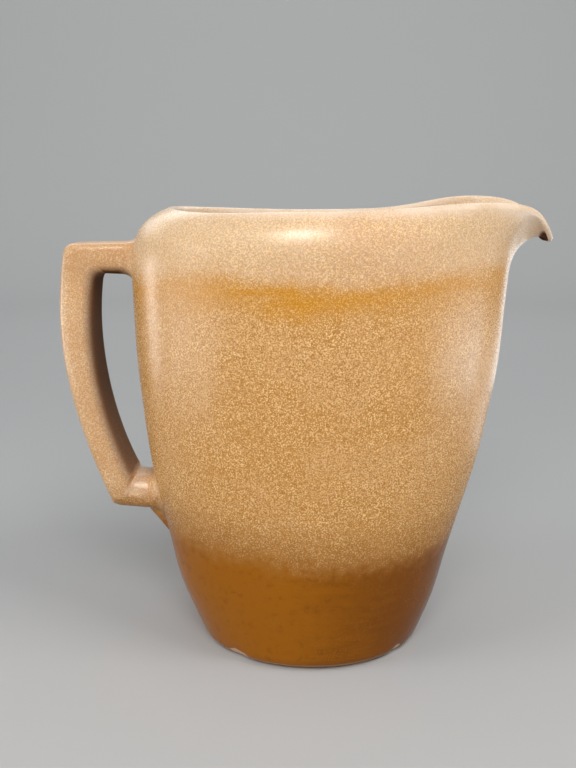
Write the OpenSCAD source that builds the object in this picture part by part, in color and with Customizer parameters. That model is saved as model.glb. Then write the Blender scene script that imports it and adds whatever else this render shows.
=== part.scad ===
// Pottery pitcher: an oval cast body with a drooping spout, and an angular strap handle luted to it.
// Millimetres. +Z is up, +X points to the spout, and the origin is the centre of the foot.

/* [Body] */
// Height of the rim halfway between handle and spout
rim_height = 190; // [175:1:205]
// Diameter of the foot, before its edge is rounded
foot_diameter = 97; // [90:1:104]
// Reach of the wall from the axis below the spout
front_reach = 86; // [81:0.5:90]
// Reach of the wall from the axis behind the handle
back_reach = 78; // [75:0.5:80]
// Reach of the wall from the axis at the sides
side_reach = 62; // [57:0.5:67]
// Thickness of the wall
wall = 6; // [5:0.5:7]
// Thickness of the floor
floor_thickness = 9; // [7:0.5:12]
// Width of the ring that the pitcher stands on
foot_ring = 8; // [5:0.5:12]
// Depth of the hollow inside the foot ring
foot_hollow = 2.5; // [1:0.5:4]

/* [Rim and spout] */
// Thickness of the rounded lip
lip = 5.5; // [4:0.5:6.5]
// Thickness of the lip at the spout's tip
tip_lip = 3; // [2.5:0.25:4.5]
// How far the rim draws in above the handle
back_draw = 17; // [12:0.5:20]
// How far the rim draws in at the sides
side_draw = 8; // [3:0.5:11]
// Rise of the rim towards the handle
back_rise = 0.5; // [0:0.5:3]
// Rise of the rim at the spout's shoulders
spout_rise = 6.5; // [4:0.5:9]
// Reach of the spout's tip beyond the wall
spout_reach = 14.5; // [11:0.5:17]
// Drop of the spout's tip below the rim
spout_drop = 9.5; // [6:0.5:12]
// Half angle that the spout takes of the wall, seen from above
spout_angle = 17; // [14:0.5:20]
// Angle that the lip turns over at the spout's tip
spout_curl = 165; // [140:1:170]

/* [Handle] */
// Reach of the handle from the axis
handle_reach = 107.5; // [104:0.5:114]
// Width of the strap, side to side
strap_width = 26; // [20:0.5:30]
// Thickness of the strap below its upper corner
strap_top = 12.5; // [10:0.5:15]
// Thickness of the strap above its lower corner
strap_low = 8; // [7:0.5:10]
// Height of the upper arm's top at the corner
upper_arm_z = 176.5; // [170:0.5:178]
// Thickness of the upper arm
upper_arm = 12.5; // [11:0.5:14]
// Height of the lower arm's underside at the corner
lower_arm_z = 59; // [55:0.5:65]
// Thickness of the lower arm
lower_arm = 15; // [12:0.5:17]
// Flare of the two arms where they meet the wall
arm_flare = 1.5; // [0.5:0.5:3]
// Thickness of the slip in the two joints
slip = 2; // [1:0.25:2.5]
// Spread of the slip over the wall round a joint
slip_spread = 4; // [2:0.5:5]
// Length of the slip's tail down the wall under the lower joint
slip_tail = 8; // [0:0.5:10]

/* [Hidden] */

// Counts of points round the body, round the strap, and along their curves
body_sides = 72;
strap_sides = 28;
wall_rings = 11;
lip_rings = 10;
round_steps = 4;
foot_steps = 3;
shaft_rings = 11;

// Wall: it swells quickly above the foot and would be upright a little above the rim;
// from the neck up it turns in to the rim or out to the spout
swell_above = 15;
swell_height = rim_height + swell_above;
front_swell = 2;
side_swell = 2.4;
back_swell = 3.1;
oval_power = 2.05;
foot_round = 7;
neck_drop = 27;
neck = rim_height - neck_drop;
floor_corner = 22;

// Foot ring: bare clay that stands a little below the glazed edge of the foot
ring_lift = 0.6;
ring_inset = 5.2;
ring_outer = foot_diameter / 2 - ring_inset;
ring_inner = ring_outer - foot_ring;
ring_seat = 1;
ring_sides = 96;

// Spout: the shoulders rise inside the first angle, the lip curls over inside the second,
// and only the tip drops
shoulder_angle = 41.5;
shoulder_power = 7.5;
curl_angle = 17;
tip_angle = 12;
tip_power = 3.1;
throat_pull = 17;
tip_pull = 5.3;
spout_crowding = 30;

// Rim: lean of the lip above the handle and at the sides, and how its curve sets out and arrives
back_lean = 70;
side_lean = 42;
back_power = 4;
lip_start = 0.6;
lip_end = 0.45;

// Strap: a rounded rectangle, with rounder corners on its outer face than on its inner face
outer_power = 3.2;
inner_power = 7;

// Handle's edges: rounding of their corners, set-back of the corners from the handle's reach,
// and the bow of the shaft as heights in shares of its length and as offsets of its two edges
outer_rounds = [6, 3];
inner_rounds = [4.5, 2.5];
upper_setback = 1.6;
lower_setback = 20;
inner_setback = 2.5;
bow_heights = [0.65, 0.37];
outer_bow = [6.6, -0.2];
inner_bow = [1.8, -6.7];

// Joints: how much taller than the arms they are, and how far the lower one sits below its arm
joint_grip = 0.5;
joint_sag = 2.5;

// Shares of the slip's thickness at which it has a ring
slip_shares = [0, 0.3, 0.65, 1];
halvings = 16;

function mix(a, b, s) = a + (b - a) * s;
function unit(v) = v / norm(v);
function bezier(p, s) = pow(1 - s, 3) * p[0] + 3 * pow(1 - s, 2) * s * p[1]
    + 3 * (1 - s) * s * s * p[2] + pow(s, 3) * p[3];
function bezier_way(p, s) = unit(pow(1 - s, 2) * (p[1] - p[0]) + 2 * (1 - s) * s * (p[2] - p[1])
    + s * s * (p[3] - p[2]));
function signed_power(v, e) = sign(v) * pow(abs(v), e);

// Closed skin from one end point over a row of rings to the other end point
module skin(first, rings, last) {
    count = len(rings[0]);
    final = len(rings) * count + 1;
    points = concat([first], [for (ring = rings) each ring], [last]);
    faces = concat(
        [for (i = [0:count - 1]) [0, 1 + i, 1 + (i + 1) % count]],
        [for (k = [0:len(rings) - 2], i = [0:count - 1])
            let (a = 1 + k * count + i, b = 1 + k * count + (i + 1) % count)
            each [[a, a + count, b + count], [a, b + count, b]]],
        [for (i = [0:count - 1])
            [final, final - count + (i + 1) % count, final - count + i]]);
    polyhedron(points, faces, convexity = 10);
}

// Reach of the outer wall at a height, and its radius in any direction; angle 0 is the spout
function swell(z, power) = 1 - pow(1 - z / swell_height, power);
function front_at(z) = mix(foot_diameter / 2, front_reach, swell(z, front_swell));
function back_at(z) = mix(foot_diameter / 2, back_reach, swell(z, back_swell));
function side_at(z) = mix(foot_diameter / 2, side_reach, swell(z, side_swell));
function wall_radius(angle, z) = let (along = cos(angle) > 0 ? front_at(z) : back_at(z))
    pow(pow(abs(cos(angle)) / along, oval_power)
        + pow(abs(sin(angle)) / side_at(z), oval_power), -1 / oval_power);
function wall_slope(angle, z) = (wall_radius(angle, z + 0.5) - wall_radius(angle, z - 0.5));

// Shares of the spout, of its curled lip, of its tip, of its shoulders and of the raised back at an angle
function spout_share(angle) = exp(-pow(angle / spout_angle, 2));
function curl_share(angle) = exp(-pow(angle / curl_angle, 2));
function tip_share(angle) = 1 / (1 + pow(abs(angle) / tip_angle, tip_power));
function shoulder_share(angle) = 1 / (1 + pow(abs(angle) / shoulder_angle, shoulder_power));
function back_share(angle) = pow((1 - cos(angle)) / 2, back_power);

// Outer curve from the neck to the lip, as [radius, height], leaning in at the rim and out at the spout
function lip_at(angle) = mix(lip, tip_lip, spout_share(angle));
function lip_turn(angle) = mix(
    -mix(side_lean, back_lean, back_share(angle)) * (1 - shoulder_share(angle)),
    spout_curl, curl_share(angle));
function lip_height(angle) = rim_height - lip_at(angle) / 2 * (1 + sin(lip_turn(angle)))
    + mix(back_rise * back_share(angle) + spout_rise * shoulder_share(angle),
        -spout_drop, tip_share(angle));
function lip_radius(angle) = wall_radius(angle, rim_height) + spout_reach * spout_share(angle)
    - mix(side_draw, back_draw, back_share(angle)) * (1 - shoulder_share(angle));
function lip_curve(angle) = let (
        share = spout_share(angle),
        climb = lip_height(angle) - neck,
        start = [wall_radius(angle, neck), neck],
        end = [lip_radius(angle), lip_height(angle)],
        turn = lip_turn(angle),
        rise = mix(lip_start * climb, throat_pull, share),
        pull = mix(lip_end * climb, tip_pull, share))
    [start, start + rise * [wall_slope(angle, neck), 1], end - pull * [sin(turn), cos(turn)], end];

// Point of a curve moved in by a thickness, square to the curve
function moved_in(point, way, thickness) = point + thickness * [-way[1], way[0]];

// Half section of the pot at an angle: under the foot, up the outside, over the lip, down the inside
function profile(angle) = let (
        lean = atan(wall_slope(angle, 0)),
        foot = wall_radius(angle, 0) + foot_round * (tan(lean) - 1 / cos(lean)),
        foot_turn = acos(1 - ring_lift / foot_round),
        wall_start = foot_round * (1 - sin(lean)),
        curve = lip_curve(angle),
        turn = lip_turn(angle),
        bead = lip_at(angle),
        inner_foot = moved_in([wall_radius(angle, floor_corner), floor_corner],
            unit([wall_slope(angle, floor_corner), 1]), wall),
        crown = moved_in(curve[3], [sin(turn), cos(turn)], bead / 2))
    concat(
        [[ring_inner - ring_seat - foot_hollow, foot_hollow], [ring_inner - ring_seat, ring_lift]],
        [for (i = [0:foot_steps - 1]) let (b = mix(foot_turn, 90 - lean, i / foot_steps))
            [foot + foot_round * sin(b), foot_round * (1 - cos(b))]],
        [for (i = [0:wall_rings - 1]) let (z = mix(wall_start, neck, i / wall_rings))
            [wall_radius(angle, z), z]],
        [for (i = [0:lip_rings]) bezier(curve, i / lip_rings)],
        [for (i = [1:round_steps]) let (b = 180 * i / (round_steps + 1) - turn)
            crown + bead / 2 * [cos(b), sin(b)]],
        [for (i = [0:lip_rings]) let (s = 1 - i / lip_rings)
            moved_in(bezier(curve, s), bezier_way(curve, s), mix(wall, bead, s))],
        [for (i = [1:wall_rings - 2]) let (z = mix(neck, floor_corner, i / (wall_rings - 1)))
            moved_in([wall_radius(angle, z), z], unit([wall_slope(angle, z), 1]), wall)],
        [for (i = [0:round_steps]) let (b = 90 * i / round_steps)
            [inner_foot[0] - floor_corner * (1 - cos(b)),
             mix(inner_foot[1], floor_thickness, sin(b))]]);

// Directions round the pot, closer together at the spout
function ring_angle(i) = let (even = 360 * i / body_sides - 180)
    even - spout_crowding * sin(even);

module body() {
    angles = [for (i = [0:body_sides - 1]) ring_angle(i)];
    profiles = [for (angle = angles) profile(angle)];
    rings = [for (k = [0:len(profiles[0]) - 1])
        [for (i = [0:body_sides - 1]) let (p = profiles[i][k])
            [p[0] * cos(angles[i]), p[0] * sin(angles[i]), p[1]]]];
    color("peru") {
        skin([0, 0, foot_hollow], rings, [0, 0, floor_thickness]);
        difference() {
            cylinder(r = ring_outer, h = foot_hollow, $fn = ring_sides);
            translate([0, 0, -ring_seat])
                cylinder(r = ring_inner, h = foot_hollow + 2 * ring_seat, $fn = ring_sides);
        }
    }
}

// Radius of a lip curve at a height, by halving the span that holds it
function curve_radius(curve, z, low = 0, high = 1, left = halvings) = let (middle = (low + high) / 2)
    left == 0 ? bezier(curve, middle)[0]
    : bezier(curve, middle)[1] < z ? curve_radius(curve, z, middle, high, left - 1)
    : curve_radius(curve, z, low, middle, left - 1);

// Point of the back wall at a sideways distance and a height, standing off by a gap
function back_wall(y, z, gap) = let (
        angle = 180 - atan2(y, back_at(z)),
        radius = z < neck ? wall_radius(angle, z) : curve_radius(lip_curve(angle), z))
    [radius * cos(angle) - gap, radius * sin(angle), z];

// Strap section as [thickness share, width share] at a step round it; step 0 is the outer face
function strap_step(i) = let (b = 360 * i / strap_sides, power = cos(b) > 0 ? outer_power : inner_power)
    [signed_power(cos(b), 2 / power), signed_power(sin(b), 2 / power)];

// Ring of a joint, moulded to the back wall; up is 1 where the strap's outer face looks up
function joint_ring(z, half_height, half_width, gap, up, tail = 0) = [for (i = [0:strap_sides - 1])
    let (p = strap_step(i), reach = half_height + tail * max(0, p[0]))
    back_wall(half_width * p[1], z + up * reach * p[0], gap)];

// Edge of the handle as [distance from the axis, height]: arm, round corner, bowed shaft, corner, arm
function corner(from, tip, to, size, s) = let (
        a = tip + size * unit(from - tip), b = tip + size * unit(to - tip))
    mix(mix(a, tip, s), mix(tip, b, s), s);
function edge(start, upper, bow, lower, end, rounds) = let (
        shaft = [corner(start, upper, bow[0], rounds[0], 1), bow[0], bow[1],
            corner(bow[1], lower, end, rounds[1], 0)])
    concat(
        [for (s = [0, 0.5]) mix(start, corner(start, upper, bow[0], rounds[0], 0), s)],
        [for (i = [0:round_steps]) corner(start, upper, bow[0], rounds[0], i / round_steps)],
        [for (i = [1:shaft_rings]) bezier(shaft, i / (shaft_rings + 1))],
        [for (i = [0:round_steps]) corner(bow[1], lower, end, rounds[1], i / round_steps)],
        [for (s = [0.5, 1]) mix(corner(bow[1], lower, end, rounds[1], 1), end, s)]);

// Joints: height and half height of the arms just before they flare to the wall
upper_joint_z = upper_arm_z - upper_arm / 2;
lower_joint_z = lower_arm_z + lower_arm / 2 - joint_sag;
upper_joint_half = upper_arm / 2 + joint_grip;
lower_joint_half = lower_arm / 2 + joint_grip;
function arm_end(z) = [2 * arm_flare - back_wall(0, z, slip)[0], z];

// The strap's outer and inner edges, and the control points that bow the shaft between its corners
function bow(offsets, inset) = [for (k = [0, 1])
    [handle_reach - inset[k] + offsets[k], mix(lower_arm_z, upper_arm_z, bow_heights[k])]];
lower_corner_x = handle_reach - lower_setback;
outer_edge = edge(
    arm_end(upper_joint_z + upper_joint_half),
    [handle_reach - upper_setback, upper_arm_z],
    bow(outer_bow, [0, 0]),
    [lower_corner_x, lower_arm_z],
    arm_end(lower_joint_z - lower_joint_half), outer_rounds);
inner_edge = edge(
    arm_end(upper_joint_z - upper_joint_half),
    [handle_reach - strap_top - inner_setback, upper_arm_z - upper_arm],
    bow(inner_bow, [strap_top, strap_low]),
    [lower_corner_x - strap_low, lower_arm_z + lower_arm],
    arm_end(lower_joint_z + lower_joint_half), inner_rounds);

module handle() {
    half_width = strap_width / 2;
    middle = [for (k = [0:len(outer_edge) - 1]) let (
            centre = (outer_edge[k] + inner_edge[k]) / 2,
            half = (outer_edge[k] - inner_edge[k]) / 2)
        [for (i = [0:strap_sides - 1]) let (p = strap_step(i), q = centre + half * p[0])
            [-q[0], half_width * p[1], q[1]]]];
    rings = concat(
        [joint_ring(upper_joint_z, upper_joint_half / 2, half_width / 2, slip, 1),
         joint_ring(upper_joint_z, upper_joint_half + arm_flare, half_width + arm_flare, slip, 1)],
        middle,
        [joint_ring(lower_joint_z, lower_joint_half + arm_flare, half_width + arm_flare, slip, -1),
         joint_ring(lower_joint_z, lower_joint_half / 2, half_width / 2, slip, -1)]);
    color("peru") skin(back_wall(0, upper_joint_z, slip), rings, back_wall(0, lower_joint_z, slip));
}

// Rings of the slip from the wall out to the flared arm, wide at the wall and drawn in to the arm
function slip_rings(z, half_height, up, tail) = let (
        tall = half_height + arm_flare, wide = strap_width / 2 + arm_flare)
    concat(
        [joint_ring(z, (tall + slip_spread) / 2, (wide + slip_spread) / 2, 0, up)],
        [for (s = slip_shares) let (thin = 1 - s, spread = slip_spread * thin * thin)
            joint_ring(z, tall + spread, wide + spread, slip * s, up, tail * thin)],
        [joint_ring(z, tall / 2, wide / 2, slip, up)]);

module upper_joint_slip() {
    rings = slip_rings(upper_joint_z, upper_joint_half, 1, 0);
    color("tan") skin(back_wall(0, upper_joint_z, 0), rings, back_wall(0, upper_joint_z, slip));
}

module lower_joint_slip() {
    rings = slip_rings(lower_joint_z, lower_joint_half, -1, slip_tail);
    color("tan") skin(back_wall(0, lower_joint_z, slip), [for (k = [len(rings) - 1:-1:0]) rings[k]],
        back_wall(0, lower_joint_z, 0));
}

body();
handle();
upper_joint_slip();
lower_joint_slip();
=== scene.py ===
import math
import bpy
import numpy as np
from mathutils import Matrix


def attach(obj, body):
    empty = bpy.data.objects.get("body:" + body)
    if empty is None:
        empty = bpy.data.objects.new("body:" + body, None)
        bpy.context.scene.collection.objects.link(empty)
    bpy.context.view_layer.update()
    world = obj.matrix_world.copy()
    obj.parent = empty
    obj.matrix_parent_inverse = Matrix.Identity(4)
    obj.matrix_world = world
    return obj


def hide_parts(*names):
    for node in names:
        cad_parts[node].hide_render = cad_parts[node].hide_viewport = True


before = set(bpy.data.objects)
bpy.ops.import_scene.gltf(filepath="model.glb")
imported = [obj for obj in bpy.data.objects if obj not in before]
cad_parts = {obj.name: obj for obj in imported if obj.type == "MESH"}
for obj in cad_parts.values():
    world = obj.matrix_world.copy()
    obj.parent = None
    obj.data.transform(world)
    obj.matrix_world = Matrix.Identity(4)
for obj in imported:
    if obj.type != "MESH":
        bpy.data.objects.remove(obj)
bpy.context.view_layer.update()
scene = bpy.context.scene
scene.view_settings.view_transform = "Standard"
print("frame loaded:", sorted(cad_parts))

mm = 0.001
zoneOf = {"outside": 0.0, "inside": 0.5, "bare": 1.0}   # side of the pot that a point is on

# Pot, in millimetres. Angle 0 is the spout, 180 the handle; negative angles are the near side.
pot = {
    "rimHeight": 190, "footRadius": 48.5, "footRound": 7, "wall": 6, "floor": 9, "lip": 5.5,
    "frontReach": 86, "backReach": 78, "sideReach": 62,
    "frontSwell": 2, "sideSwell": 2.4, "backSwell": 3.1, "ovalPower": 2.05, "swellHeight": 205,
    # where the wall leaves its even swell: amount, height, spread
    "frontFuller": ((1.1, 20, 15), (1.0, 86, 17), (1.3, 116, 27)),
    "backFuller": ((1.1, 28, 14), (-0.3, 140, 20)),
    "neck": 163, "floorCorner": 22,
    # ring that the foot rests on, and the hollow inside it
    "ringLift": 0.6, "ringOuter": 43.3, "ringInner": 35.3, "ringRound": 0.5, "ringMargin": 1,
    "hollow": 2.5, "hollowSlope": 3.4, "hollowPower": 1.6,
    "backDraw": 17, "sideDraw": 8, "backLean": 70, "sideLean": 42, "backPower": 4, "backRise": 0.4,
    "lipStart": 0.6, "lipEnd": 0.45,
    "spoutReach": 15.2, "spoutAngle": 18.5, "spoutCurl": 165, "throatPull": 15.5, "tipPull": 4,
    "tipTop": 179.3, "tipLip": 2.3,
    # near and far side of the spout's tip
    "curlAngle": (12.5, 15), "tipAngle": (10, 7.5), "tipPower": (4.5, 2.8),
    # hand-made: the far rim stands higher than the near one at spout and handle
    "nearRise": 3.7, "farRise": 7.8, "nearShoulder": 51, "farShoulder": 38, "shoulderPower": 5.4,
    "sideBlend": 10, "backWarp": 2.0, "backPeak": 1.3, "peakWidth": 28,
    # hand-made ripple of the wall: share, waves round, turn per millimetre of height, start
    "unevenness": 0.22, "rippleHeights": (12, 52),
    "ripples": ((1, 3, 0.021, 0.6), (0.7, 5, -0.033, 2.1)),
    "throwRings": (0.6, 0.11, 1.2, 0.4),    # share, turn per millimetre of height, tilt, start
    # chips in the foot's edge: angle, half width in degrees, depth
    "chips": ((-131, 6.5, 1.0), (-42, 3.4, 0.8)), "chipHeight": 2.6, "chipSpan": 2.5,
    # painted shade under the curl: shares of the lip's curve and of its crown, near and far angle
    "shadeLength": 0.32, "shadeCrown": 0.2, "shadeAngle": (8.2, 16), "shadeEdge": (1.1, 0.9), "noShade": 9,
    # thin pale glaze on the lip: reach at the rim and at the spout, where it also paints light on the shaded
    # flank; inside the lip it runs down the inner wall as painted light
    "paleCentre": 1.05, "paleReach": (0.10, 0.42), "paleAngle": 17, "innerPale": 0.75, "innerPaleReach": 0.30,
    # points round the pot, closer together at the spout, and rows along its half section
    "sides": 320, "spoutCrowding": 26, "pinhole": 0.02, "edgeStart": 0.2,
    "hollowRows": 9, "slopeRows": 5, "ringRows": 6, "edgeRows": 4, "footRows": 13, "wallRows": 81,
    "lipRows": 41, "crownRows": 17, "insideRows": 46, "cornerRows": 17, "floorRows": 9,
}


def mixOf(a, b, share):
    return a + (b - a) * share


def bump(value, centre, width):
    return np.exp(-((value - centre) / width) ** 2)


def ramp(value, start, end):
    return np.clip((value - start) / (end - start), 0, 1)


def bezierAt(p, s):
    return ((1 - s) ** 3 * p[0] + 3 * (1 - s) ** 2 * s * p[1]
            + 3 * (1 - s) * s * s * p[2] + s ** 3 * p[3])


def bezierWay(p, s):
    way = (1 - s) ** 2 * (p[1] - p[0]) + 2 * (1 - s) * s * (p[2] - p[1]) + s * s * (p[3] - p[2])
    return way / np.linalg.norm(way, axis=-1, keepdims=True)


def reachAt(name, z):
    swell = 1 - np.abs(1 - z / pot["swellHeight"]) ** pot[name + "Swell"]
    return mixOf(pot["footRadius"], pot[name + "Reach"], swell)


def fullReachAt(name, z):
    reach = reachAt(name, z)
    for amount, height, spread in pot[name + "Fuller"]:
        reach = reach + amount * bump(z, height, spread)
    return reach


def wallRadius(angle, z):
    c, s = np.cos(angle), np.sin(angle)
    z = z + 0 * angle
    along = np.where(c > 0, fullReachAt("front", z), fullReachAt("back", z))
    power = pot["ovalPower"]
    return ((np.abs(c) / along) ** power + (np.abs(s) / reachAt("side", z)) ** power) ** (-1 / power)


def wallSlope(angle, z):
    # millimetres outwards per millimetre of height
    return wallRadius(angle, z + 0.5) - wallRadius(angle, z - 0.5)


def shares(angle):
    # how much each angle belongs to the far side, the spout, its tip, its shoulders and the back
    degrees = np.degrees(angle)
    far = (1 + np.tanh(degrees / pot["sideBlend"])) / 2
    spout = bump(degrees, 0, pot["spoutAngle"])
    tip = 1 / (1 + (np.abs(degrees) / mixOf(*pot["tipAngle"], far)) ** mixOf(*pot["tipPower"], far))
    reach = mixOf(pot["nearShoulder"], pot["farShoulder"], far)
    shoulder = 1 / (1 + (np.abs(degrees) / reach) ** pot["shoulderPower"])
    back = ((1 - np.cos(angle)) / 2) ** pot["backPower"]
    return far, spout, tip, shoulder, back


def lipCurve(angle):
    # outer curve from the neck to the lip at every angle, the lip's turn and its thickness
    far, spout, tip, shoulder, back = shares(angle)
    leanIn = mixOf(pot["sideLean"], pot["backLean"], back) * (1 - shoulder)
    curl = bump(np.degrees(angle), 0, mixOf(*pot["curlAngle"], far))
    turn = np.radians(mixOf(-leanIn, pot["spoutCurl"], curl))
    thickness = mixOf(pot["lip"], pot["tipLip"], spout)
    warp = pot["backWarp"] * np.sin(angle) * np.cos(angle) * np.minimum(np.cos(angle), 0)
    warp += pot["backPeak"] * bump(180 - np.abs(np.degrees(angle)), 0, pot["peakWidth"])
    rim = (pot["rimHeight"] + pot["backRise"] * back + warp
           + mixOf(pot["nearRise"], pot["farRise"], far) * shoulder)
    lipZ = mixOf(rim, pot["tipTop"], tip) - thickness / 2 * (1 + np.sin(turn))
    lipR = (wallRadius(angle, pot["rimHeight"]) + pot["spoutReach"] * spout
            - mixOf(pot["sideDraw"], pot["backDraw"], back) * (1 - shoulder))
    climb = lipZ - pot["neck"]
    rise = mixOf(pot["lipStart"] * climb, pot["throatPull"], spout)
    pull = mixOf(pot["lipEnd"] * climb, pot["tipPull"], spout)
    neck = pot["neck"] + 0 * angle
    start = np.stack([wallRadius(angle, neck), neck], -1)
    up = np.stack([wallSlope(angle, neck), 1 + 0 * angle], -1)
    way = np.stack([np.sin(turn), np.cos(turn)], -1)
    end = np.stack([lipR, lipZ], -1)
    return [start, start + rise[:, None] * up, end - pull[:, None] * way, end], turn, thickness


def movedIn(point, way, thickness):
    return point + np.expand_dims(thickness, -1) * np.stack([-way[..., 1], way[..., 0]], -1)


def profileRings(angle):
    # half section at every angle: under the foot, up the outside, over the lip, down the inside
    one = 1 + 0 * angle
    rings = []

    def add(r, z, lipEdge=0.0, zone=zoneOf["outside"], fromShade=pot["noShade"]):
        rings.append((np.stack([r * one, z * one], -1), lipEdge, zone, fromShade))

    def addUnder(r, z):
        add(r, z, zone=zoneOf["bare"])

    def addInside(r, z):
        add(r, z, zone=zoneOf["inside"])

    hollowEdge = pot["ringInner"] - pot["hollowSlope"]
    flatEdge = pot["ringOuter"] - pot["ringRound"]
    for s in np.linspace(pot["pinhole"], 1, pot["hollowRows"]):
        addUnder(s * hollowEdge, pot["hollow"])
    for s in np.linspace(0, 1, pot["slopeRows"])[1:]:
        addUnder(hollowEdge + pot["hollowSlope"] * s, pot["hollow"] * (1 - s ** pot["hollowPower"]))
    for r in np.linspace(pot["ringInner"] + pot["ringMargin"], flatEdge, pot["ringRows"]):
        addUnder(r, 0)
    for b in np.linspace(pot["edgeStart"], 1, pot["edgeRows"]) * math.pi / 2:
        addUnder(flatEdge + pot["ringRound"] * math.sin(b), pot["ringRound"] * (1 - math.cos(b)))

    lean = np.arctan(wallSlope(angle, 0 * angle))
    foot = wallRadius(angle, 0 * angle) + pot["footRound"] * (np.tan(lean) - 1 / np.cos(lean))
    footTurn = math.acos(1 - pot["ringLift"] / pot["footRound"])
    for s in np.linspace(0, 1, pot["footRows"])[:-1]:
        b = mixOf(footTurn, math.pi / 2 - lean, s)
        add(foot + pot["footRound"] * np.sin(b), pot["footRound"] * (1 - np.cos(b)))
    wallStart = pot["footRound"] * (1 - np.sin(lean))
    for s in np.linspace(0, 1, pot["wallRows"])[:-1]:
        z = mixOf(wallStart, pot["neck"], s)
        add(wallRadius(angle, z), z)

    curve, turn, thickness = lipCurve(angle)
    lipSteps = np.linspace(0, 1, pot["lipRows"])
    # pale thin glaze over the lip, reaching further down the spout's flank, where it is also painted light
    paleReach = mixOf(*pot["paleReach"], bump(np.degrees(angle), 0, pot["paleAngle"]))
    for s in lipSteps:
        add(*bezierAt(curve, s).T, lipEdge=bump(s, pot["paleCentre"], paleReach),
            fromShade=(1 - s) / pot["shadeLength"])
    way = np.stack([np.sin(turn), np.cos(turn)], -1)
    crown = movedIn(curve[3], way, thickness / 2)
    for s in np.linspace(0, 1, pot["crownRows"])[1:-1]:
        b = math.pi * s - turn
        add(*(crown + thickness[:, None] / 2 * np.stack([np.cos(b), np.sin(b)], -1)).T, lipEdge=1.0,
            fromShade=s / pot["shadeCrown"])
    # inside, the pale lip colour runs on down the inner wall as painted light
    for s in lipSteps[::-1]:
        inner = movedIn(bezierAt(curve, s), bezierWay(curve, s), mixOf(pot["wall"], thickness, s))
        add(*inner.T, lipEdge=pot["innerPale"] * bump(s, 1, pot["innerPaleReach"]),
            zone=mixOf(zoneOf["inside"], zoneOf["outside"], s ** 2))

    for s in np.linspace(0, 1, pot["insideRows"])[1:]:
        z = mixOf(pot["neck"], pot["floorCorner"], s) * one
        wallWay = np.stack([wallSlope(angle, z), one], -1)
        wallWay /= np.linalg.norm(wallWay, axis=-1, keepdims=True)
        addInside(*movedIn(np.stack([wallRadius(angle, z), z], -1), wallWay, pot["wall"]).T)
    corner = rings[-1][0]
    for b in np.linspace(0, math.pi / 2, pot["cornerRows"])[1:]:
        addInside(corner[:, 0] - pot["floorCorner"] * (1 - math.cos(b)),
                  mixOf(corner[:, 1], pot["floor"], math.sin(b)))
    edge = rings[-1][0][:, 0]
    for s in np.linspace(1, pot["pinhole"], pot["floorRows"])[1:]:
        addInside(edge * s, pot["floor"])
    return rings


def makeObject(name, points, faces, values):
    mesh = bpy.data.meshes.new(name)
    mesh.from_pydata((points * mm).tolist(), [], faces)
    for label, data in values.items():
        mesh.attributes.new(label, "FLOAT", "POINT").data.foreach_set("value", np.asarray(data, np.float32))
    mesh.shade_smooth()
    mesh.update()
    piece = bpy.data.objects.new(name, mesh)
    scene.collection.objects.link(piece)
    return piece


def bandFaces(ringCount, around):
    faces = []
    for k in range(ringCount - 1):
        for i in range(around):
            a, b = k * around + i, k * around + (i + 1) % around
            faces.append((a, b, b + around, a + around))
    return faces


def skinFaces(ringCount, around, firstTip, lastTip):
    # closed skin over rings of points, with a fan to a tip at both ends
    top = (ringCount - 1) * around
    steps = [(i, (i + 1) % around) for i in range(around)]
    return ([(firstTip, b, a) for a, b in steps] + bandFaces(ringCount, around)
            + [(lastTip, top + a, top + b) for a, b in steps])


def rippleAt(angle, z):
    share, pace, tilt, start = pot["throwRings"]
    ripple = share * np.sin(pace * z + tilt * np.sin(angle + start))
    for share, waves, pace, start in pot["ripples"]:
        ripple = ripple + share * np.sin(waves * angle + pace * z + start)
    return pot["unevenness"] * ramp(z, *pot["rippleHeights"]) * ripple


def makePot():
    even = 2 * math.pi * np.arange(pot["sides"]) / pot["sides"] - math.pi
    angle = even - math.radians(pot["spoutCrowding"]) * np.sin(even)
    rings = profileRings(angle)
    degrees = np.degrees(angle)
    points, values = [], {"lipEdge": [], "zone": [], "pool": [], "chip": []}
    # painted shade in the hollow under the spout's curl, darkest on the curl's underside at the tip
    shadeWidth = np.where(degrees < 0, *pot["shadeAngle"])
    for ring, edgeShare, zone, fromShade in rings:
        r, z = ring[:, 0], ring[:, 1]
        chip = 0 * angle
        if zone == zoneOf["outside"]:
            for centre, halfWidth, depth in pot["chips"]:
                dent = bump(degrees, centre, halfWidth) * bump(z, pot["chipHeight"], pot["chipSpan"])
                r = r - depth * dent
                chip = chip + dent
        r = r + rippleAt(angle, z)
        points.append(np.stack([r * np.cos(angle), r * np.sin(angle), z], -1))
        values["lipEdge"].append(edgeShare + 0 * angle)
        values["zone"].append(zone + 0 * angle)
        values["pool"].append(ramp(fromShade ** 2 + (degrees / shadeWidth) ** 2, *pot["shadeEdge"]))
        values["chip"].append(chip)
    points = np.concatenate(points + [[[0, 0, pot["hollow"]], [0, 0, pot["floor"]]]])
    tips = len(points) - 2
    faces = skinFaces(len(rings), pot["sides"], tips, tips + 1)
    ends = {"zone": [zoneOf["bare"], zoneOf["inside"]]}
    values = {label: np.concatenate(parts + [ends.get(label, [0, 0])]) for label, parts in values.items()}
    piece = makeObject("pot", points, faces, values)
    print("pot:", len(points), "points,", len(faces), "faces")
    return piece


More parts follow.
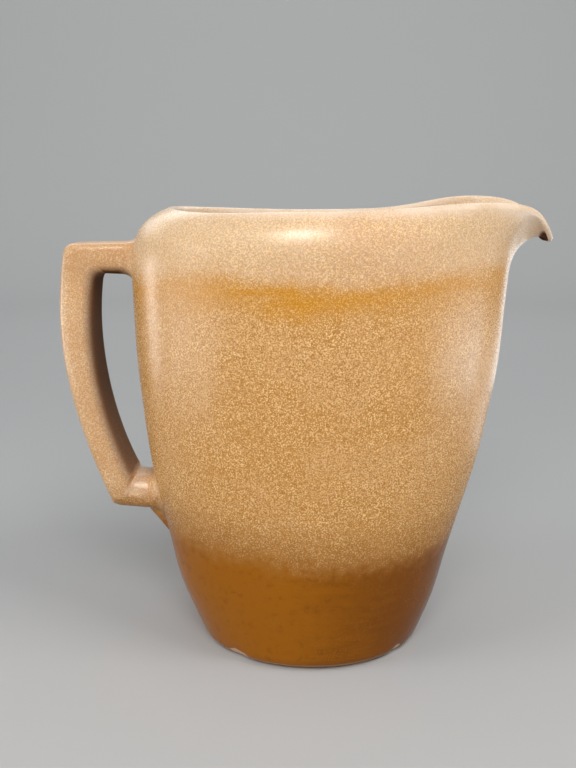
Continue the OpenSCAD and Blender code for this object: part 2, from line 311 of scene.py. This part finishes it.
# Handle, in millimetres. Its edges are drawn as distance from the axis and height.
handle = {
    "reach": 107.4, "width": 26, "top": 12.5, "low": 9.6,
    "upperArmZ": 176.5, "upperArm": 12.5, "lowerArmZ": 59, "lowerArm": 15,
    "outerRounds": (4.6, 3.2), "innerRounds": (4.5, 2.5),
    "upperSetback": 1.6, "lowerSetback": 18.4, "innerSetback": 2.5,
    "bowHeights": (0.65, 0.37), "outerBow": (6.6, -0.4), "innerBow": (1.8, -5.1),
    # squareness of the section, outer and inner half: flat upper arm, crisp inner edges
    "upperForm": (5.5, 7), "shaftForm": (3.2, 7),
    "armRound": 0.75,       # share of the lower arm's half width that is rounded
    # joints: fillets round both arms, sunk into the wall, and a tail down from the lower one
    "jointSag": 1.0, "jointSwell": 0.5, "fillet": 4.5, "filletSpread": 2.8, "sunk": 1.3,
    "tailGap": 6.5, "tail": 11.5, "tailWidth": 0.45, "tailPower": 10,
    # crease where the shaft's inner edge runs on down the lower arm
    "creaseDepth": 0.7, "creaseWidth": 0.7, "creaseLean": 0.18, "creaseLength": 11, "creaseFade": 4,
    # glaze worn off the shaft's edges, as shares along the shaft and across the section
    "edgeWear": 0.45, "wearRamp": 0.1, "wornCorner": (0.55, 0.85),
    # painted shade on the inner face, ending above the lower corner, and under the upper arm
    "innerShade": 0.9, "shadeFace": (0.375, 1), "shadeEnd": (0.93, 0.81),
    "shadeLoss": 0.3, "lossRamp": (0.5, 0.8),
    "upperShadeFace": (0.35, 0.80), "upperShadeRamp": 0.588,
    # painted light on the lower arm's upper face, a golden lower edge, and the rows before and past the arm
    # that share it
    "armPaintedLight": 0.35, "litFace": (0.5, -0.5), "litRows": 8, "warmFace": (0.143, 0.857), "warmRows": (14, 6),
    # points round the strap, rows along it, and rows over which its section changes
    "around": 120, "upperRows": 17, "shaftRows": 64, "lowerRows": 21, "filletRows": 13, "armRows": 14,
    "formRows": 24, "roundRows": 8, "wallSearch": 20,
}


def backWall(y, z, gap):
    # point of the wall behind the handle at a sideways distance and a height
    angle = math.pi - np.arctan2(y, reachAt("back", z))
    radius = wallRadius(angle, z)
    high = z > pot["neck"]
    if np.any(high):
        curve = lipCurve(angle)[0]
        low, top = 0 * z, 0 * z + 1
        for _ in range(handle["wallSearch"]):
            middle = (low + top) / 2
            below = bezierAt(curve, middle[:, None])[:, 1] < z
            low, top = np.where(below, middle, low), np.where(below, top, middle)
        radius = np.where(high, bezierAt(curve, middle[:, None])[:, 0], radius)
    return np.stack([radius * np.cos(angle) - gap, radius * np.sin(angle), z], -1)


def cornerAt(start, tip, end, size, s):
    a = tip + size * (start - tip) / np.linalg.norm(start - tip)
    b = tip + size * (end - tip) / np.linalg.norm(end - tip)
    return mixOf(mixOf(a, tip, s), mixOf(tip, b, s), s)


def handleEdge(start, upper, bow, lower, end, rounds):
    # upper corner, bowed shaft and lower corner of one edge
    first = [cornerAt(start, upper, bow[0], rounds[0], s) for s in np.linspace(0, 1, handle["upperRows"])]
    last = [cornerAt(bow[1], lower, end, rounds[1], s) for s in np.linspace(0, 1, handle["lowerRows"])]
    shaft = [first[-1], bow[0], bow[1], last[0]]
    return np.array(first + [bezierAt(shaft, s) for s in np.linspace(0, 1, handle["shaftRows"])[1:-1]] + last)


def strapSection(form, roundShare=0):
    # shares of thickness and width round the strap, squarish or with full round sides
    b = 2 * math.pi * np.arange(handle["around"]) / handle["around"]
    power = 2 / np.where(np.cos(b) > 0, form[0], form[1])
    deep = np.sign(np.cos(b)) * np.abs(np.cos(b)) ** power
    wide = np.sign(np.sin(b)) * np.abs(np.sin(b)) ** power
    roundWide = np.sign(np.round(np.sin(b), 6)) * mixOf(1, np.abs(np.sin(b)), handle["armRound"])
    return mixOf(deep, np.cos(b), roundShare), mixOf(wide, roundWide, roundShare)


def makeHandle():
    h = handle
    half = h["width"] / 2
    upperForm, shaftForm = np.array(h["upperForm"]), np.array(h["shaftForm"])
    upperZ = h["upperArmZ"] - h["upperArm"] / 2
    lowerZ = h["lowerArmZ"] + h["lowerArm"] / 2 - h["jointSag"]
    upperHalf, lowerHalf = h["upperArm"] / 2 + h["jointSwell"], h["lowerArm"] / 2 + h["jointSwell"]

    def jointRing(z, tall, up, s, tail):
        # ring moulded to the wall: s is 0 where the fillet leaves the arm and 1 where it meets the wall
        deep, wide = strapSection(upperForm, tail)
        flare = 1 - math.sqrt(1 - min(s, 1) ** 2)
        below = tail * np.clip(deep, 0, 1) ** 2 / (1 + np.abs(wide / h["tailWidth"]) ** h["tailPower"])
        spread = mixOf(flare * h["filletSpread"], min(s, 1) * h["tail"], below)
        gap = mixOf(h["fillet"], h["tailGap"], below) * (1 - s)
        sideways = flare * h["filletSpread"]
        return backWall((half + sideways) * wide, z + up * (tall + spread) * deep, gap)

    def armEnd(z):
        return np.array([-backWall(np.array([0.0]), np.array([z]), h["fillet"])[0, 0], z])

    def bowOf(offsets, inset):
        return [np.array([h["reach"] - inset[k] + offsets[k],
                          mixOf(h["lowerArmZ"], h["upperArmZ"], h["bowHeights"][k])]) for k in (0, 1)]

    lowerX = h["reach"] - h["lowerSetback"]
    outer = handleEdge(armEnd(upperZ + upperHalf), np.array([h["reach"] - h["upperSetback"], h["upperArmZ"]]),
                       bowOf(h["outerBow"], (0, 0)), np.array([lowerX, h["lowerArmZ"]]),
                       armEnd(lowerZ - lowerHalf), h["outerRounds"])
    inner = handleEdge(armEnd(upperZ - upperHalf),
                       np.array([h["reach"] - h["top"] - h["innerSetback"], h["upperArmZ"] - h["upperArm"]]),
                       bowOf(h["innerBow"], (h["top"], h["low"])),
                       np.array([lowerX - h["low"], h["lowerArmZ"] + h["lowerArm"]]),
                       armEnd(lowerZ + lowerHalf), h["innerRounds"])
    centre, reach = (outer + inner) / 2, (outer - inner) / 2
    miter = len(outer) - 1 - h["lowerRows"] // 2
    strap = []
    for k in range(len(outer)):
        form = mixOf(upperForm, shaftForm, min(k / h["formRows"], 1))
        deep, wide = strapSection(form, np.clip((k - miter) / h["roundRows"] + 0.5, 0, 1))
        side = centre[k] + reach[k] * deep[:, None]
        below = h["lowerArmZ"] + h["lowerArm"] - side[:, 1]
        crease = lowerX - h["low"] + h["creaseLean"] * below
        groove = (h["creaseDepth"] * bump(side[:, 0], crease, h["creaseWidth"]) * np.clip(below, 0, 1)
                  * np.clip((h["creaseLength"] - below) / h["creaseFade"], 0, 1))
        strap.append(np.stack([-side[:, 0], wide * half - np.sign(wide) * groove, side[:, 1]], -1))
    filletSteps = np.sin(np.linspace(0, math.pi / 2, h["filletRows"]))
    upperEnd = [jointRing(upperZ, upperHalf, 1, s, 0) for s in filletSteps]
    lowerEnd = [jointRing(lowerZ, lowerHalf, -1, s, 1) for s in filletSteps]
    sunkUpper = jointRing(upperZ, upperHalf, 1, h["sunk"], 0)
    sunkLower = jointRing(lowerZ, lowerHalf, -1, h["sunk"], 1)
    armSteps = np.linspace(0, 1, h["armRows"])[1:-1]
    upperArm = [mixOf(upperEnd[0], strap[0], s) for s in armSteps]
    lowerArm = [mixOf(strap[-1], lowerEnd[0], s) for s in armSteps]
    rings = [sunkUpper] + upperEnd[::-1] + upperArm + strap + lowerArm + lowerEnd + [sunkLower]
    points = np.concatenate(rings + [[sunkUpper.mean(0), sunkLower.mean(0)]])
    tips = len(points) - 2
    faces = skinFaces(len(rings), h["around"], tips, tips + 1)

    # glaze is thin on the shaft's edges; shade is painted on its inner face, less towards the lower corner,
    # and light on the lower arm's upper face
    shaftStart = 1 + len(upperEnd) + len(upperArm)
    shaftEnd = shaftStart + len(strap)
    armStop = shaftEnd + len(lowerArm)
    down = np.linspace(0, 1, len(strap))
    worn, shadeAlong = np.zeros(len(rings)), np.zeros(len(rings))
    worn[shaftStart:shaftEnd] = ramp(np.minimum(down, 1 - down), 0, h["wearRamp"])
    shadeAlong[shaftStart:shaftEnd] = ramp(down, *h["shadeEnd"]) * (1 - h["shadeLoss"] * ramp(down, *h["lossRamp"]))
    shadeAlong[1:shaftStart] = ramp(np.linspace(0, 1, shaftStart - 1), 0, h["upperShadeRamp"])
    deep, wide = strapSection(shaftForm)
    paleAndLit = h["edgeWear"] * np.outer(worn, ramp(np.abs(deep * wide), *h["wornCorner"]))
    pool = h["innerShade"] * np.outer(shadeAlong, ramp(-deep, *h["shadeFace"]))
    # painted shade along the upper arm's lower front edge
    pool[1:shaftStart] = np.outer(shadeAlong[1:shaftStart], ramp(-deep, *h["upperShadeFace"]))
    # painted light: the lower arm's upper face is paler, as if lit from above
    paleAndLit[shaftEnd - h["litRows"]:armStop] += h["armPaintedLight"] * ramp(deep, *h["litFace"])
    warm = 0 * paleAndLit
    warm[shaftEnd - h["warmRows"][0]:armStop + h["warmRows"][1]] = ramp(deep, *h["warmFace"])
    values = {"lipEdge": paleAndLit, "pool": pool, "warm": warm}
    values = {label: np.append(share.ravel(), [0, 0]) for label, share in values.items()}
    piece = makeObject("strapHandle", points, faces, values)
    print("handle:", len(points), "points,", len(faces), "faces")
    return piece


# Glaze: colours in plain white light, sizes and heights in millimetres
glaze = {
    "cream": (0.660, 0.448, 0.266), "blush": (0.680, 0.408, 0.204), "rose": (0.625, 0.352, 0.172),
    "russet": (0.440, 0.225, 0.090), "golden": (0.590, 0.250, 0.018),
    "tan": (0.630, 0.330, 0.115), "ochre": (0.570, 0.275, 0.070), "haze": (0.365, 0.153, 0.030),
    "amber": (0.340, 0.110, 0.002), "amberDeep": (0.200, 0.058, 0.001), "wiped": (0.500, 0.220, 0.060),
    "paleGrain": (0.900, 0.610, 0.300), "darkGrain": (0.360, 0.150, 0.028),
    # the pale lip colour is thin glaze and also painted light; the dark brown after it is painted shade
    "lipPale": (0.820, 0.640, 0.480), "pool": (0.080, 0.027, 0.003), "clay": (0.680, 0.470, 0.360),
    "speck": (0.070, 0.032, 0.014), "crumb": (0.900, 0.760, 0.560),
    # heights at which a glaze sets in and is full
    "dipHeights": (56, 42), "ochreHeights": (103, 52), "hazeHeights": (72, 53), "wipedHeights": (3.1, 2.2),
    "bandTop": (171.5, 162.5), "bandFoot": (149, 162), "blushHeights": (161.5, 171.5),
    "creamHeights": (164, 186), "russetHeights": (152, 168),
    # how far these lines wander, and how far grains stray over them
    "broadWander": 14, "mediumWander": 8, "dipWander": 0.7, "dipStray": 9, "bandStray": 3,
    "dipLift": (-5, -45, 0, 4),                         # the dip line climbs on the handle side
    "nearSide": (0, -30),
    "sagPlace": -9, "sagWidth": 34, "sagDepth": 4,      # the golden band sags a little on the near side
    "patchPlace": 20, "patchWidth": 26,                 # browner patch on the near shoulder
    "shadeSidePlaces": (-20, 45), "shadeSideStreaks": 40, "shadeSideClouds": 30,   # painted shade: the amber is darker on the spout side
    # noise: size, detail, roughness
    "broadNoise": (52, 2), "mediumNoise": (13, 3), "raggedNoise": (3.2, 2), "streakNoise": (16, 3, 0.6),
    "fineNoise": (0.62, 2, 0.65), "coarseNoise": (1.116, 1), "clayNoise": (0.6, 3, 0.7), "waveNoise": (5, 2),
    "streakFlat": 4.5,
    # values at which a share sets in and is full, then the shares there where they aren't 0 and 1
    "hazePatches": (0.35, 0.6, 0.6, 0.95), "bandStreaks": (0.32, 0.6, 0.55, 1), "bandSides": (0, 1, 0.62, 1),
    "handleCream": (0.35, 0.65, 0, 0.3), "handleBlush": (0.3, 0.6, 0.5, 0.95),
    "paleCut": (0.50, 0.64), "palePatches": (0.3, 0.65, 0.55, 0.95),
    "darkCut": (0.50, 0.36), "darkPatches": (0.3, 0.65, 0.85, 0.60),
    "coarseCut": (0.54, 0.68), "coarsePatches": (0, 1, 0.1, 0.3),
    "ochreCut": (0.38, 0.62), "ochreSway": 0.5,
    "amberGrain": (0.5, 0.72), "amberPatches": (0.4, 0.65, 0.12, 0.5),
    "amberDark": (0.5, 0.3), "amberStreaks": (0.4, 0.65, 0.1, 0.5),
    "paleEdgePatches": (0.30, 0.62, 0.35, 0.85), "clayPatches": (0.4, 0.7, 0, 0.4),
    "insideRise": (0.3, 0.5), "insideFall": (0.8, 0.6), "bareRise": (0.7, 0.95),
    "chipCut": (0.38, 0.58), "chipStray": 0.5,
    # full strength of some layers, and how far others calm the grains
    "ochreShare": 0.7, "patchShare": 0.75, "russetShare": 0.4, "warmShare": 0.85, "wipedShare": 0.8,
    "insideShare": 0.75, "speckShare": 0.75, "crumbShare": 0.8,
    "bandCalm": 0.65, "dipCalm": 0.9, "hazeCalm": 0.6, "blushCalm": 0.6, "russetCalm": 0.6,
    # one speck or crumb in some of the cells: sizes, soft edge, and the draws that pick them
    "speckCell": 17, "speckSizes": (0.17, 0.51), "speckEdge": 0.006, "speckAbove": 0.55, "crumbBelow": 0.12,
    "roughness": 0.27, "handleRoughness": 0.34, "amberRoughness": 0.24, "bareRoughness": 0.85,
    "grainRoughness": 0.15, "ior": 1.5, "specular": 0.14,
    "grainRelief": 0.5, "waveRelief": 0.9, "reliefStrength": 0.30, "reliefDepth": 0.0003,
}


class NodeBench:
    # short ways to add nodes to one material
    def __init__(self, name):
        self.material = bpy.data.materials.new(name)
        self.material.use_nodes = True
        self.tree = self.material.node_tree
        self.tree.nodes.clear()

    def add(self, kind, inputs=None, **settings):
        node = self.tree.nodes.new(kind)
        for key, value in settings.items():
            setattr(node, key, value)
        for key, value in (inputs or {}).items():
            self.feed(node.inputs[key], value)
        return node

    def feed(self, socket, value):
        if isinstance(value, bpy.types.NodeSocket):
            self.tree.links.new(value, socket)
        elif isinstance(value, tuple) and len(value) == 3 and len(socket.default_value) == 4:
            socket.default_value = (*value, 1)
        else:
            socket.default_value = value

    def math(self, operation, a, b=0.0):
        return self.add("ShaderNodeMath", {0: a, 1: b}, operation=operation).outputs[0]

    def times(self, first, *others):
        for other in others:
            first = self.math("MULTIPLY", first, other)
        return first

    def plus(self, first, *others):
        for other in others:
            first = self.math("ADD", first, other)
        return first

    def sway(self, noise, reach):
        # noise as an offset round zero
        return self.math("MULTIPLY", self.math("SUBTRACT", noise, 0.5), reach)

    def step(self, value, low, high, toLow=0.0, toHigh=1.0):
        node = self.add("ShaderNodeMapRange", {"Value": value, "From Min": low, "From Max": high,
                                               "To Min": toLow, "To Max": toHigh})
        node.interpolation_type = "SMOOTHSTEP"
        return node.outputs[0]

    def hill(self, value, centre, width):
        away = self.math("DIVIDE", self.math("SUBTRACT", value, centre), width)
        return self.math("POWER", math.e, self.times(-1.0, away, away))

    def less(self, share, strength=1.0):
        return self.math("SUBTRACT", 1.0, self.math("MULTIPLY", share, strength))

    def blend(self, share, a, b):
        node = self.add("ShaderNodeMix", data_type="RGBA")
        self.feed(node.inputs[0], share)
        self.feed(node.inputs[6], a)
        self.feed(node.inputs[7], b)
        return node.outputs[2]

    def level(self, share, a, b):
        return self.add("ShaderNodeMix", {0: share, 2: a, 3: b}).outputs[0]

    def noise(self, place, size, detail=2.0, roughness=0.5):
        return self.add("ShaderNodeTexNoise", {"Vector": place, "Scale": 1 / size, "Detail": detail,
                                               "Roughness": roughness}).outputs["Fac"]

    def carried(self, label):
        # share that the mesh carries at its points
        return self.add("ShaderNodeAttribute", attribute_name=label).outputs["Fac"]


def glazeMaterial(name, banded):
    g = glaze
    n = NodeBench(name)
    objectPlace = n.add("ShaderNodeTexCoord").outputs["Object"]
    place = n.add("ShaderNodeVectorMath", {0: objectPlace, 3: 1 / mm}, operation="SCALE").outputs[0]
    x, y, z = n.add("ShaderNodeSeparateXYZ", {0: place}).outputs
    broad = n.noise(place, *g["broadNoise"])
    medium = n.noise(place, *g["mediumNoise"])
    ragged = n.noise(place, *g["raggedNoise"])
    fine = n.noise(place, *g["fineNoise"])
    flat = n.add("ShaderNodeMapping", {"Vector": place, "Scale": (1.0, 1.0, g["streakFlat"])}).outputs[0]
    streak = n.noise(flat, *g["streakNoise"])

    # heights at which the glazes meet: wavy, and ragged where grains stray over the line
    cloud = n.plus(n.sway(broad, g["broadWander"]), n.sway(medium, g["mediumWander"]))
    dipZ = n.plus(z, n.times(cloud, g["dipWander"]), n.sway(ragged, g["dipStray"]))
    dipZ = n.math("SUBTRACT", dipZ, n.step(x, *g["dipLift"]))
    near = n.step(y, *g["nearSide"])
    sagShape = n.hill(x, g["sagPlace"], g["sagWidth"])
    sag = n.times(sagShape, near, g["sagDepth"])
    bandZ = n.plus(z, cloud, sag, n.sway(ragged, g["bandStray"]))
    dipped = n.step(dipZ, *g["dipHeights"])
    overDip = n.step(dipZ, *g["ochreHeights"])
    haze = n.times(n.step(dipZ, *g["hazeHeights"]), n.step(medium, *g["hazePatches"]))
    if banded:
        band = n.times(n.step(bandZ, *g["bandTop"]), n.step(bandZ, *g["bandFoot"]),
                       n.step(streak, *g["bandStreaks"]), n.step(sagShape, *g["bandSides"]))
        rim = n.step(bandZ, *g["creamHeights"])
        blush = n.step(bandZ, *g["blushHeights"])
    else:
        band = 0.0
        rim = n.step(medium, *g["handleCream"])
        blush = n.step(broad, *g["handleBlush"])

    # pale and dark grains, calm in the golden band and almost gone in the amber
    calm = n.times(n.less(band, g["bandCalm"]), n.less(dipped, g["dipCalm"]), n.less(haze, g["hazeCalm"]))
    if not banded:
        calm = n.times(calm, n.step(z, *g["russetHeights"], 1.0, g["russetCalm"]))
    pale = n.times(n.step(fine, *g["paleCut"]), calm, n.step(medium, *g["palePatches"]))
    dark = n.times(n.step(fine, *g["darkCut"]), calm, n.less(blush, g["blushCalm"]),
                   n.step(broad, *g["darkPatches"]))
    coarse = n.times(n.step(n.noise(place, *g["coarseNoise"]), *g["coarseCut"]), calm,
                     n.step(blush, *g["coarsePatches"]))

    mottled = n.plus(broad, n.sway(medium, g["ochreSway"]))
    colour = n.blend(n.step(mottled, *g["ochreCut"]), g["tan"], g["ochre"])
    colour = n.blend(n.times(overDip, g["ochreShare"]), colour, g["ochre"])
    colour = n.blend(blush, colour, g["blush"] if banded else g["rose"])
    colour = n.blend(rim, colour, g["cream"])
    if banded:
        patch = n.times(n.hill(x, g["patchPlace"], g["patchWidth"]), near, blush, g["patchShare"])
        colour = n.blend(patch, colour, g["rose"])
    else:
        colour = n.blend(n.step(z, *g["russetHeights"], 0.0, g["russetShare"]), colour, g["russet"])
        colour = n.blend(n.times(n.carried("warm"), g["warmShare"]), colour, g["golden"])
    colour = n.blend(band, colour, g["golden"])
    colour = n.blend(haze, colour, g["haze"])
    colour = n.blend(pale, colour, g["paleGrain"])
    colour = n.blend(dark, colour, g["darkGrain"])
    colour = n.blend(coarse, colour, g["lipPale"])

    # amber of the dip, wiped thin at the foot
    # painted shade: the amber darkens towards the spout side
    shadeSide = n.plus(x, n.sway(streak, g["shadeSideStreaks"]), n.sway(broad, g["shadeSideClouds"]))
    amber = n.blend(n.step(shadeSide, *g["shadeSidePlaces"]), g["amber"], g["amberDeep"])
    lighter = n.times(n.step(fine, *g["amberGrain"]), n.step(medium, *g["amberPatches"]))
    amber = n.blend(lighter, amber, g["haze"])
    darker = n.times(n.step(ragged, *g["amberDark"]), n.step(streak, *g["amberStreaks"]))
    amber = n.blend(darker, amber, g["amberDeep"])
    amber = n.blend(n.times(n.step(z, *g["wipedHeights"]), g["wipedShare"]), amber, g["wiped"])
    colour = n.blend(dipped, colour, amber)

    # inside, thin pale edges with painted light, and painted shade, by the shares that the mesh carries
    zone, pool = n.carried("zone"), n.carried("pool")
    inside = n.times(n.step(zone, *g["insideRise"]), n.step(zone, *g["insideFall"]), g["insideShare"])
    colour = n.blend(inside, colour, g["ochre"])
    paleAndLit = n.times(n.carried("lipEdge"), n.step(medium, *g["paleEdgePatches"]))
    colour = n.blend(paleAndLit, colour, g["lipPale"])
    # painted shade: under the spout's curl and on the handle's inner face
    colour = n.blend(pool, colour, g["pool"])

    # sparse iron specks and pale crumbs, and bare clay in the chips and under the foot
    cells = n.add("ShaderNodeTexVoronoi", {"Vector": place, "Scale": 1 / g["speckCell"]})
    draw = n.add("ShaderNodeSeparateColor", {0: cells.outputs["Color"]}).outputs
    smallest, largest = (size / g["speckCell"] for size in g["speckSizes"])
    outside = n.math("SUBTRACT", cells.outputs["Distance"], n.step(draw[1], 0.0, 1.0, smallest, largest))
    spot = n.step(outside, g["speckEdge"], -g["speckEdge"])
    speck = n.times(spot, n.math("GREATER_THAN", draw[0], g["speckAbove"]), g["speckShare"])
    crumb = n.times(spot, n.math("LESS_THAN", draw[0], g["crumbBelow"]), g["crumbShare"])
    colour = n.blend(speck, colour, g["speck"])
    colour = n.blend(crumb, colour, g["crumb"])
    chip = n.step(n.plus(n.carried("chip"), n.sway(ragged, g["chipStray"])), *g["chipCut"])
    bare = n.math("MAXIMUM", n.step(zone, *g["bareRise"]), chip)
    clay = n.blend(n.step(n.noise(place, *g["clayNoise"]), *g["clayPatches"]), g["clay"], g["tan"])
    colour = n.blend(bare, colour, clay)

    rough = n.plus(n.times(pale, g["grainRoughness"]), g["roughness"] if banded else g["handleRoughness"])
    rough = n.level(dipped, rough, g["amberRoughness"])
    rough = n.level(n.math("MAXIMUM", bare, pool), rough, g["bareRoughness"])
    relief = n.plus(n.times(fine, n.less(dipped, g["dipCalm"]), g["grainRelief"]),
                    n.times(n.noise(place, *g["waveNoise"]), g["waveRelief"]))
    raised = n.add("ShaderNodeBump", {"Height": relief, "Strength": g["reliefStrength"],
                                      "Distance": g["reliefDepth"]}).outputs[0]
    shader = n.add("ShaderNodeBsdfPrincipled", {"Base Color": colour, "Roughness": rough, "Normal": raised,
                                                "IOR": g["ior"], "Specular IOR Level": g["specular"]})
    n.add("ShaderNodeOutputMaterial", {"Surface": shader.outputs[0]})
    return n.material


# Floor that rises in a round cove, and the camera and lights, in metres and degrees
studio = {
    "floorStart": (0.001, 0.1), "floorReach": 1.4, "coveRadius": 0.7, "coveHeight": 0.95,
    "floorRows": 12, "coveRows": 17, "coveSides": 96, "coveColour": (0.50, 0.50, 0.495), "coveRoughness": 0.8,
    "cameraPlace": (-0.0104, -0.395, 0.1945), "lookDown": 11.55, "lens": 42.19, "sensor": 36.0,
    "clipStart": 0.01,
    "worldColour": (0.92, 0.96, 1.0), "worldStrength": 0.44,
    "lights": {
        "key": {"place": (0.0, -0.92, 0.77), "aim": (0, 0, 0.12), "size": (0.60, 0.45), "power": 6.3},
        "leftFill": {"place": (-0.90, -0.35, 0.45), "aim": (0, 0, 0.12), "size": (0.45, 0.45), "power": 3.1},
        "rightFill": {"place": (0.62, -0.42, 0.95), "aim": (0, 0, 0.16), "size": (0.50, 0.50), "power": 3.85},
        "spoutFill": {"place": (0.50, -0.58, 0.20), "aim": (0.085, 0, 0.185), "size": (0.12, 0.12),
                      "power": 0.017, "spread": 26},
        "backWash": {"place": (0, 0.85, 1.3), "aim": (0, 2.1, 0.45), "size": (1.4, 0.4), "power": 8.0},
        # cards and strips, which only the gloss shows: in front, at both sides and behind
        "shoulderCard": {"place": (-0.12, -0.56, 1.02), "aim": (0, 0, 0.16), "size": (0.24, 0.18),
                         "power": 7.5, "colour": (0.78, 0.90, 1.0)},
        "armCard": {"place": (-0.0575, -0.212, 0.354), "aim": (-0.075, -0.012, 0.067), "size": (0.09, 0.16),
                    "power": 0.20, "spread": 44},
        "frontCard": {"place": (0.45, -0.78, 0.22), "aim": (0, 0, 0.16), "size": (0.24, 0.14), "power": 0.7},
        "leftCard": {"place": (-0.31, -0.145, 0.092), "aim": (-0.03, -0.06, 0.13), "size": (0.22, 0.105),
                     "power": 0.70},
        "rightCard": {"place": (0.32, -0.085, 0.068), "aim": (0, -0.06, 0.13), "size": (0.22, 0.085),
                      "power": 0.70, "colour": (0.66, 0.86, 1.0)},
        "leftStrip": {"place": (-0.40, 0.075, 0.12), "aim": (0, 0, 0.14), "size": (0.06, 0.16),
                      "power": 0.56},
        "rightStrip": {"place": (0.31, 0.34, 0.12), "aim": (0, 0, 0.14), "size": (0.10, 0.22),
                       "power": 0.20, "colour": (0.85, 0.94, 1.0)},
        "spoutCard": {"place": (0.25, 0.09, 0.06), "aim": (0.09, -0.01, 0.185), "size": (0.14, 0.10),
                      "power": 0.075},
        "rimCard": {"place": (0, 0.75, 0.70), "aim": (0, 0, 0.19), "size": (0.90, 0.30), "power": 3.0},
        "neckCard": {"place": (-0.48, 0.51, 0.50), "aim": (-0.05, 0, 0.18), "size": (0.40, 0.25),
                     "power": 0.8},
    },
}


def makeFloor():
    s = studio
    middle, start = s["floorStart"]
    profile = [(middle, 0.0)] + [(r, 0.0) for r in np.linspace(start, s["floorReach"], s["floorRows"])]
    profile += [(s["floorReach"] + s["coveRadius"] * math.sin(b), s["coveRadius"] * (1 - math.cos(b)))
                for b in np.linspace(0, math.pi / 2, s["coveRows"])[1:]]
    profile.append((s["floorReach"] + s["coveRadius"], s["coveHeight"]))
    turn = 2 * math.pi * np.arange(s["coveSides"]) / s["coveSides"]
    points = [(r * math.cos(t), r * math.sin(t), z) for r, z in profile for t in turn]
    mesh = bpy.data.meshes.new("floor")
    mesh.from_pydata(points, [], bandFaces(len(profile), s["coveSides"]))
    mesh.shade_smooth()
    floor = bpy.data.objects.new("floor", mesh)
    scene.collection.objects.link(floor)
    n = NodeBench("paleFloor")
    shader = n.add("ShaderNodeBsdfPrincipled", {"Base Color": s["coveColour"], "Specular IOR Level": 0.0,
                                                "Roughness": s["coveRoughness"]})
    n.add("ShaderNodeOutputMaterial", {"Surface": shader.outputs[0]})
    mesh.materials.append(n.material)
    print("floor: round cove of", len(points), "points")


def makeStudio():
    lens = bpy.data.cameras.new("photoView")
    lens.lens = studio["lens"]
    lens.sensor_width = studio["sensor"]
    lens.clip_start = studio["clipStart"]
    camera = bpy.data.objects.new("photoView", lens)
    camera.location = studio["cameraPlace"]
    camera.rotation_euler = (math.radians(90 - studio["lookDown"]), 0, 0)
    scene.collection.objects.link(camera)
    scene.camera = camera
    world = bpy.data.worlds.new("softRoom")
    world.use_nodes = True
    sky = world.node_tree.nodes["Background"]
    sky.inputs[0].default_value = (*studio["worldColour"], 1)
    sky.inputs[1].default_value = studio["worldStrength"]
    scene.world = world
    for name, spec in studio["lights"].items():
        light = bpy.data.lights.new(name, "AREA")
        light.shape = "RECTANGLE"
        light.size, light.size_y = spec["size"]
        light.energy = spec["power"]
        light.spread = math.radians(spec.get("spread", 180))
        light.color = spec.get("colour", (1, 1, 1))
        lamp = bpy.data.objects.new(name, light)
        lamp.location = spec["place"]
        lamp.visible_camera = False
        lamp.visible_diffuse = not name.endswith(("Card", "Strip"))
        way = np.array(spec["aim"]) - np.array(spec["place"])
        lamp.rotation_euler = (math.acos(-way[2] / np.linalg.norm(way)), 0, math.atan2(-way[0], way[1]))
        scene.collection.objects.link(lamp)
    print("studio: camera and", len(studio["lights"]), "lights")


makeStudio()
makeFloor()
potPiece = makePot()
handlePiece = makeHandle()
for piece, slotName, nodes in (
        (potPiece, "body_glaze", ("body",)),
        (handlePiece, "handle_glaze", ("handle", "upper_joint_slip", "lower_joint_slip"))):
    piece.data.materials.append(glazeMaterial(piece.name + "Glaze", banded=piece is potPiece))
    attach(piece, "root")
    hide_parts(*nodes)
print("pieces dressed")
